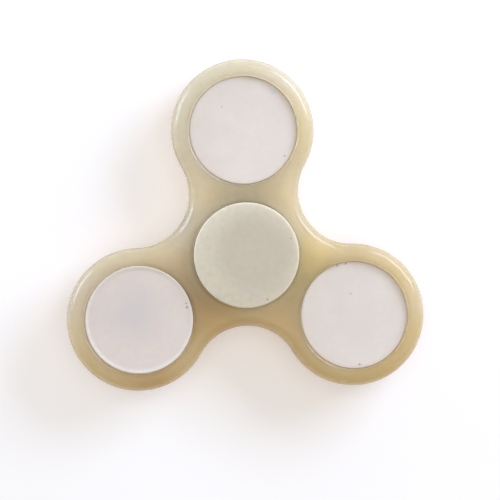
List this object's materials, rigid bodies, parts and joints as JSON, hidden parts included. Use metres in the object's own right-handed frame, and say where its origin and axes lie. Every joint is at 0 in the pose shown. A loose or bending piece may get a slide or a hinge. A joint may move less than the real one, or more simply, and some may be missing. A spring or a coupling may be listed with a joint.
{
  "type": "fidget spinner",
  "caption": "Flat rounded spinner with equal lobes about a ball bearing hub, disc covers over a weight in each lobe, and round finger caps to hold while it spins.",
  "frame": {"origin": "centre of the back finger cap's outer flat face, on the spin axis, so the spinner stands on z = 0", "axes": "+Z along the spin axis from the back finger cap to the front one; +Y from the spin axis towards the upper lobe; +X to the right seen from the front"},
  "size_m": [0.0748, 0.0688, 0.012],
  "materials": {
    "body_plastic": "moulded glow-in-the-dark plastic, milky cream with a green cast, glossy",
    "cover_plastic": "moulded off-white plastic with a faint pink cast, smooth satin",
    "cap_plastic": "translucent greenish-white plastic, smooth satin",
    "weight_steel": "zinc-plated turned steel",
    "ring_steel": "ground bearing steel",
    "ball_steel": "polished bearing steel",
    "cage_steel": "pressed steel strip",
    "shield_steel": "pressed steel sheet",
    "spring_wire": "drawn spring wire"
  },
  "bodies": {
    "finger_caps": {"front_finger_cap": "cap_plastic", "back_finger_cap": "cap_plastic", "bearing_inner_ring": "ring_steel"},
    "spinner": {"spinner_body": "body_plastic", "weight_upper": "weight_steel", "weight_left": "weight_steel", "weight_right": "weight_steel", "front_cover_upper": "cover_plastic", "front_cover_left": "cover_plastic", "front_cover_right": "cover_plastic", "back_cover_upper": "cover_plastic", "back_cover_left": "cover_plastic", "back_cover_right": "cover_plastic", "bearing_outer_ring": "ring_steel", "bearing_shield_front": "shield_steel", "bearing_shield_back": "shield_steel", "shield_snap_ring_front": "spring_wire", "shield_snap_ring_back": "spring_wire"},
    "ball_cage": {"bearing_cage_front": "cage_steel", "bearing_cage_back": "cage_steel", "bearing_cage_rivets": "cage_steel"},
    "ball_1": {"bearing_ball_1": "ball_steel"},
    "ball_2": {"bearing_ball_2": "ball_steel"},
    "ball_3": {"bearing_ball_3": "ball_steel"},
    "ball_4": {"bearing_ball_4": "ball_steel"},
    "ball_5": {"bearing_ball_5": "ball_steel"},
    "ball_6": {"bearing_ball_6": "ball_steel"},
    "ball_7": {"bearing_ball_7": "ball_steel"}
  },
  "joints": [
    {"name": "spin", "type": "hinge", "parent": "finger_caps", "child": "spinner", "pos_m": [0, 0, 0.006], "axis": [0, 0, 1], "continuous": true},
    {"name": "cage_orbit", "type": "hinge", "parent": "finger_caps", "child": "ball_cage", "pos_m": [0, 0, 0.006], "axis": [0, 0, 1], "continuous": true},
    {"name": "ball_1_roll", "type": "hinge", "parent": "ball_cage", "child": "ball_1", "pos_m": [0.0075, 0, 0.006], "axis": [0, 0, 1], "continuous": true},
    {"name": "ball_2_roll", "type": "hinge", "parent": "ball_cage", "child": "ball_2", "pos_m": [0.00468, 0.00586, 0.006], "axis": [0, 0, 1], "continuous": true},
    {"name": "ball_3_roll", "type": "hinge", "parent": "ball_cage", "child": "ball_3", "pos_m": [-0.00167, 0.00731, 0.006], "axis": [0, 0, 1], "continuous": true},
    {"name": "ball_4_roll", "type": "hinge", "parent": "ball_cage", "child": "ball_4", "pos_m": [-0.00676, 0.00325, 0.006], "axis": [0, 0, 1], "continuous": true},
    {"name": "ball_5_roll", "type": "hinge", "parent": "ball_cage", "child": "ball_5", "pos_m": [-0.00676, -0.00325, 0.006], "axis": [0, 0, 1], "continuous": true},
    {"name": "ball_6_roll", "type": "hinge", "parent": "ball_cage", "child": "ball_6", "pos_m": [-0.00167, -0.00731, 0.006], "axis": [0, 0, 1], "continuous": true},
    {"name": "ball_7_roll", "type": "hinge", "parent": "ball_cage", "child": "ball_7", "pos_m": [0.00468, -0.00586, 0.006], "axis": [0, 0, 1], "continuous": true}
  ],
  "couplings": [
    {"joint": "cage_orbit", "follows": "spin", "ratio": 0.63227},
    {"joint": "ball_1_roll", "follows": "spin", "ratio": 1.7578},
    {"joint": "ball_2_roll", "follows": "spin", "ratio": 1.7578},
    {"joint": "ball_3_roll", "follows": "spin", "ratio": 1.7578},
    {"joint": "ball_4_roll", "follows": "spin", "ratio": 1.7578},
    {"joint": "ball_5_roll", "follows": "spin", "ratio": 1.7578},
    {"joint": "ball_6_roll", "follows": "spin", "ratio": 1.7578},
    {"joint": "ball_7_roll", "follows": "spin", "ratio": 1.7578}
  ]
}
